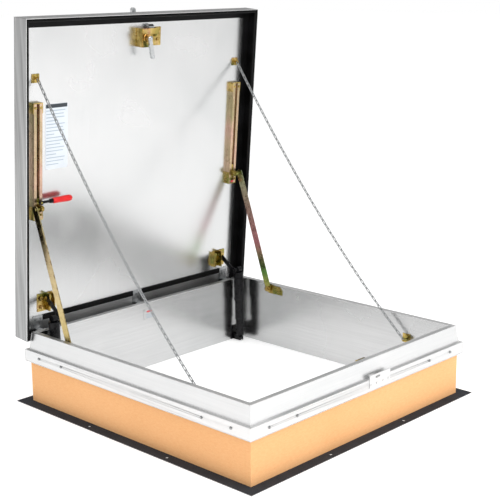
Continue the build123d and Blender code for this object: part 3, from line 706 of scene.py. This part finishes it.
def make_cover_bolts():
    """Bolt heads on the operator brackets, the chain eyes and the channel ends."""
    bracket_xs, bracket_ups, bracket_face, bracket_bolt = (500.0, 543.0), (116.0, 157.0), 47.0, (5.5, 4.5)
    eye_xs, eye_ups, eye_face, eye_bolt = (560.0, 580.0), (1079.0, 1105.0), 53.0, (3.6, 3.0)
    channel_xs, channel_ups = (CHANNEL_X - 13.0, CHANNEL_X + 13.0), (530.0, 976.0)
    channel_face, channel_bolt = 34.0, (4.2, 3.4)
    mesh = bmesh.new()
    for side in (-1, 1):
        for x in bracket_xs:
            for up in bracket_ups:
                hex_bolt(mesh, front_place(side * x, up, bracket_face), *bracket_bolt)
        for up in eye_ups:
            for x in eye_xs:
                hex_bolt(mesh, front_place(side * x, up, eye_face), *eye_bolt)
        for up in channel_ups:
            for x in channel_xs:
                hex_bolt(mesh, front_place(side * x, up, channel_face), *channel_bolt)
    piece("cover_bolts", mesh, "cover", GOLD)


def make_lever_bolts():
    """Through bolts that hold each black lever on its bracket's ear."""
    up, depth = 156.0, 42.0
    outer_x, inner_x = 525.0, 513.0
    height = 5.0
    mesh = bmesh.new()
    for side in (-1, 1):
        outward = Vector((side, 0, 0))
        hex_bolt(mesh, frame_of(on_cover(side * outer_x, up, depth), outward), 7.0, height)
        hex_bolt(mesh, frame_of(on_cover(side * inner_x, up, depth), -outward), 6.0, height)
    piece("lever_bolts", mesh, "cover", GOLD)


def make_latch_details():
    """Screw heads on the latch plate and box, and a folded lip round the box's front."""
    plate_face, plate_screws = 48.0, ((80.0, 1256.0), (80.0, 1218.0), (64.0, 1237.0))
    box_face, lip_depth, lip_radius = 14.0, 14.4, 1.3
    box_screws = ((-38.0, 1265.0), (-8.0, 1265.0), (-38.0, 1199.0), (-8.0, 1199.0))
    round_head = [(2.6, 0), (2.4, 1.0), (1.2, 1.6)]
    mesh = bmesh.new()
    for x, up in plate_screws:
        hex_bolt(mesh, front_place(x, up, plate_face), 5.0, 4.5)
    for x, up in box_screws:
        lathe(mesh, front_place(x, up, box_face), round_head, steps=20)
    piece("latch_screws", mesh, "cover", GOLD)
    corners = [(-42.5, 1193.5), (-3.5, 1193.5), (-3.5, 1270.5), (-42.5, 1270.5), (-42.5, 1193.5)]
    lip = bmesh.new()
    cover_beads(lip, corners, lip_depth, lip_radius)
    piece("latch_box_lip", lip, "cover", BRASS)


def make_latch_knob():
    """Domed nut on the spindle, a rounded tip on the inside handle and a flange on the hub."""
    handle_face, hub_face = -12.0, 13.6
    handle_tip = (-2.0, 1154.0)
    dome = [(6.0, 5.0), (5.4, 7.6), (3.2, 9.4), (0.6, 10.0)]
    tip = [(5.6, 0), (5.2, 1.6), (3.0, 2.6), (0.8, 2.8)]
    rim = [(17.5, 0), (18.2, 0.8), (18.2, 2.4), (16.0, 3.4), (15.4, 5.0)]
    nut = bmesh.new()
    place = front_place(*SPINDLE, handle_face)
    hex_bolt(nut, place, 8.0, 4.0)
    lathe(nut, place, dome, steps=28)
    lathe(nut, front_place(*handle_tip, handle_face), tip, steps=28)
    piece("handle_nut", nut, "latch_handle", STEEL)
    flange = bmesh.new()
    lathe(flange, front_place(*SPINDLE, hub_face), rim, steps=40)
    piece("hub_flange", flange, "latch_handle", BRASS)


def make_arm_bolts():
    """Pivot bolts at both ends of the hold-open arms."""
    bolt_radius, foot_height, top_height = 8.0, 5.0, 4.0
    slider_inset, slider_up, slider_depth = 6.5, 562.0, 14.0
    fixed = bmesh.new()
    for side in (-1, 1):
        foot = Vector((side * ARM_STUD_END, ARM_FOOT_Y, ARM_FOOT_Z))
        hex_bolt(fixed, frame_of(foot, Vector((-side, 0, 0))), bolt_radius, foot_height)
    piece("curb_pivot_bolts", fixed, "curb", GOLD)
    for name, side in MIRROR:
        end = on_cover(side * (CHANNEL_X - slider_inset), slider_up, slider_depth)
        top = bmesh.new()
        hex_bolt(top, frame_of(end, Vector((-side, 0, 0))), bolt_radius, top_height)
        piece(f"slider_bolt_{name}", top, f"slider_{name}", GOLD)


def make_release_grip():
    """Dipped grip that swells towards the hand and ends in a round nose."""
    low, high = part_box("release_grip")
    start = Vector((low[0], (low[1] + high[1]) / 2, (low[2] + high[2]) / 2))
    profile = [
        (7.0, 0),
        (11.0, 1.5),
        (12.6, 6),
        (12.2, 30),
        (13.4, 56),
        (13.9, 76),
        (13.2, 88),
        (10.6, 95),
        (6.0, 99),
        (1.0, 100),
    ]
    mesh = bmesh.new()
    lathe(mesh, frame_of(start, RIGHT), profile, steps=40)
    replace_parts(piece("shaped_grip", mesh, "release_handle", VINYL), "release_grip")


def operator_line(side):
    """Foot and top of one operator, and a placement whose Z runs up its tubes."""
    foot = Vector((side * OPERATOR_X, OPERATOR_FOOT.x, OPERATOR_FOOT.y))
    top = Vector((side * OPERATOR_X, OPERATOR_TOP.x, OPERATOR_TOP.y))
    return foot, top, frame_of(foot, top - foot)


def make_operator_collars():
    """Rolled collars at the mouths of the telescoping tubes, and end rings at the top."""
    upper_length = 153.0
    for name, side in MIRROR:
        foot, top, place = operator_line(side)
        length = (top - foot).length / MM
        mouth = length - upper_length
        upper = bmesh.new()
        lathe_ring(upper, place, 23.9, 26.0, mouth, mouth + 9.0)
        lathe_ring(upper, place, 23.9, 25.2, length - 24.0, length - 15.0)
        piece(f"operator_collar_upper_{name}", upper, f"operator_top_{name}", BLACK)
        middle = bmesh.new()
        lathe_ring(middle, place, 21.4, 23.4, 92.0, 99.0)
        piece(f"operator_collar_middle_{name}", middle, f"operator_mid_{name}", BLACK)


def make_springs():
    """Coil springs inside the operators, each riding on its operator's foot."""
    turns, per_turn, coil, wire = 12, 18, 13.0, 2.0
    start, head_room = 19.0, 21.0
    for name, side in MIRROR:
        foot, top, place = operator_line(side)
        height = (top - foot).length / MM - start - head_room
        points = []
        for step in range(turns * per_turn + 1):
            turn = 2 * math.pi * step / per_turn
            rise = start + height * step / (turns * per_turn)
            points.append(place @ (Vector((coil * math.cos(turn), coil * math.sin(turn), rise)) * MM))
        mesh = bmesh.new()
        tube_along(mesh, points, wire, sides=8)
        spring = piece(f"coil_spring_{name}", mesh, f"operator_foot_{name}", STEEL)
        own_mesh(spring)
        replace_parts(spring, f"operator_spring_{name}")


def make_label_marks():
    """A dark header and rows of plain bars on the cover's label, with nothing to read."""
    label_face, label_middle, rows_left = 55.4, -463.0, -515.0
    header_up, first_row_up, row_pitch = 973.0, 954.0, 14.0
    header = bmesh.new()
    slab(header, front_place(label_middle, header_up, label_face), (108.0, 16.0, 0.25), 0.1)
    piece("label_header", header, "cover", HEADER)
    bars = bmesh.new()
    lengths = (96, 88, 92, 60, 94, 84, 90, 40, 95, 90, 70, 92, 86, 50, 94, 88, 62)
    for row, length in enumerate(lengths):
        place = front_place(rows_left + length / 2, first_row_up - row_pitch * row, label_face)
        slab(bars, place, (length, 3.6, 0.2), 0.05)
    piece("label_rows", bars, "cover", INK)
    sticker_up, channel_face = 519.0, 34.0
    red = bmesh.new()
    slab(red, front_place(CHANNEL_X, sticker_up, channel_face), (15.0, 8.0, 0.4), 0.1)
    piece("channel_sticker", red, "cover", RED_INK)


def make_plate_marks():
    """A short red bar and plain rows on the data plate, held by four small rivets."""
    low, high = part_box("data_plate")
    middle = Vector(((low[0] + high[0]) / 2, low[1], (low[2] + high[2]) / 2))
    out = Vector((0, -1, 0))
    mark_x, mark_z = -0.004, 0.012
    first_row, row_pitch = 0.002, 0.007
    rivet_x, rivet_z = 0.033, 0.020
    red = bmesh.new()
    slab(red, frame_of(middle + Vector((mark_x, 0, mark_z)), out, RIGHT), (30.0, 7.0, 0.4), 0.1)
    piece("plate_mark", red, "curb", RED_INK)
    bars = bmesh.new()
    for row, length in enumerate((52, 44, 50)):
        place = frame_of(middle - Vector((0, 0, first_row + row * row_pitch)), out, RIGHT)
        slab(bars, place, (length, 3.0, 0.4), 0.1)
    piece("plate_rows", bars, "curb", INK)
    dome = [(2.2, 0), (2.0, 0.8), (0.8, 1.3)]
    rivets = bmesh.new()
    for x in (-rivet_x, rivet_x):
        for z in (-rivet_z, rivet_z):
            lathe(rivets, frame_of(middle + Vector((x, 0, z)), out), dome, steps=20)
    piece("plate_rivets", rivets, "curb", SCREW)


def make_details():
    make_band_screws()
    make_curb_hems()
    make_corner_welds()
    make_skirt_hem()
    make_gasket_ribs()
    make_skirt_bulb()
    make_hinge_seal_ribs()
    make_hinge_bolts()
    make_cover_bolts()
    make_lever_bolts()
    make_latch_details()
    make_latch_knob()
    make_arm_bolts()
    make_release_grip()
    make_operator_collars()
    make_springs()
    make_label_marks()
    make_plate_marks()


# ------------------------------------------------------------ floor, light and camera

def make_floor():
    half_width, drop = 40.0, 0.0005
    mesh = bmesh.new()
    bmesh.ops.create_grid(mesh, x_segments=2, y_segments=2, size=half_width)
    data = bpy.data.meshes.new("studio_floor")
    mesh.to_mesh(data)
    mesh.free()
    floor = bpy.data.objects.new("studio_floor", data)
    floor.location.z = cad_box[0][2] - drop
    bpy.context.collection.objects.link(floor)
    data.materials.append(floor_finish())


def soft_light(name, place, aim, size, power):
    data = bpy.data.lights.new(name, "AREA")
    data.shape = "RECTANGLE"
    data.size, data.size_y = size
    data.energy = power
    lamp = bpy.data.objects.new(name, data)
    lamp.location = place
    lamp.rotation_euler = (Vector(aim) - Vector(place)).to_track_quat("-Z", "Y").to_euler()
    bpy.context.collection.objects.link(lamp)


def make_light():
    world = bpy.data.worlds.new("studio")
    bpy.context.scene.world = world
    world.use_nodes = True
    tree = world.node_tree
    background = tree.nodes["Background"]
    background.inputs["Strength"].default_value = 1.0
    split = tree.nodes.new("ShaderNodeSeparateXYZ")
    tree.links.new(tree.nodes.new("ShaderNodeTexCoord").outputs["Generated"], split.inputs["Vector"])
    sky = tree.nodes.new("ShaderNodeValToRGB")
    elements = sky.color_ramp.elements
    stops = [(0.02, 1.0), (0.16, 0.42), (0.45, 0.42), (0.8, 0.95)]
    while len(elements) < len(stops):
        elements.new(0.5)
    for element, (height, level) in zip(elements, stops):
        element.position = height
        element.color = (level, level, level, 1)
    tree.links.new(split.outputs["Z"], sky.inputs["Fac"])
    tree.links.new(sky.outputs["Color"], background.inputs["Color"])
    soft_light("key", (0.6, -5.4, 3.2), (0, 0, 0.4), (3.0, 3.0), 150)
    soft_light("fill", (-5.0, -1.0, 3.0), (0, 0, 0.4), (3.0, 3.0), 50)
    soft_light("top", (0.0, 0.6, 5.6), (0, 0, 0), (4.0, 4.0), 60)


def make_camera():
    """Looks down on the hatch from the front left, with a short telephoto lens."""
    place = Vector((-3.3550, -3.2380, 1.7559))
    yaw, pitch, roll = math.radians(46.332), math.radians(13.401), math.radians(-0.561)
    ahead = Vector((math.sin(yaw) * math.cos(pitch), math.cos(yaw) * math.cos(pitch), -math.sin(pitch)))
    level = Vector((math.cos(yaw), -math.sin(yaw), 0))
    above = level.cross(ahead)
    across = level * math.cos(roll) + above * math.sin(roll)
    upright = above * math.cos(roll) - level * math.sin(roll)
    data = bpy.data.cameras.new("camera")
    data.sensor_width = 36.0
    data.lens = 83.39
    data.clip_end = 60.0
    camera = bpy.data.objects.new("camera", data)
    camera.matrix_world = Matrix.Translation(place) @ Matrix((across, upright, -ahead)).transposed().to_4x4()
    bpy.context.collection.objects.link(camera)
    bpy.context.scene.camera = camera


bpy.context.scene.view_settings.view_transform = "Standard"
dress_frame()
make_details()
make_floor()
make_light()
make_camera()
